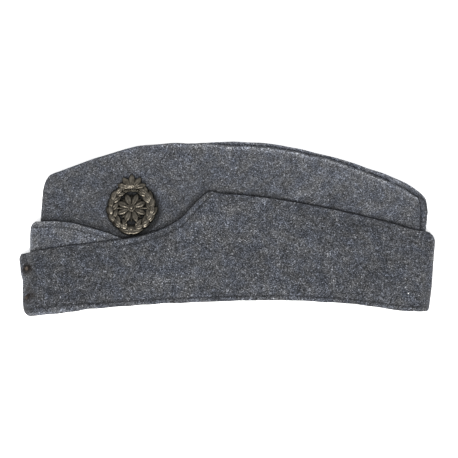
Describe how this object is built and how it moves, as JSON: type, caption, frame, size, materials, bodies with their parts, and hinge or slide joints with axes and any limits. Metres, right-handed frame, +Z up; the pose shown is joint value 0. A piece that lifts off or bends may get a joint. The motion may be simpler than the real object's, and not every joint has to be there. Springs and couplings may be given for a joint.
{
  "type": "side cap",
  "caption": "Folding wool side cap lying flat on its right side, with a turned-up curtain, a false peak and a pierced wreath badge.",
  "frame": {"origin": "under the middle of the cap's box, on the surface that it lies on", "axes": "+X towards the rear of the cap, +Y from the hem to the ridge, +Z up through the folded layers to the left side"},
  "size_m": [0.3, 0.1255, 0.0304],
  "materials": {
    "wool_cloth": "napped blue-grey wool",
    "badge_metal": "darkened brass",
    "thread": "brown sewing thread"
  },
  "bodies": {
    "root": {"crown_left": "wool_cloth", "crown_right": "wool_cloth", "peak": "wool_cloth", "curtain": "wool_cloth", "badge": "badge_metal", "badge_pin": "badge_metal", "front_knot_upper": "thread", "front_knot_lower": "thread"}
  },
  "joints": []
}
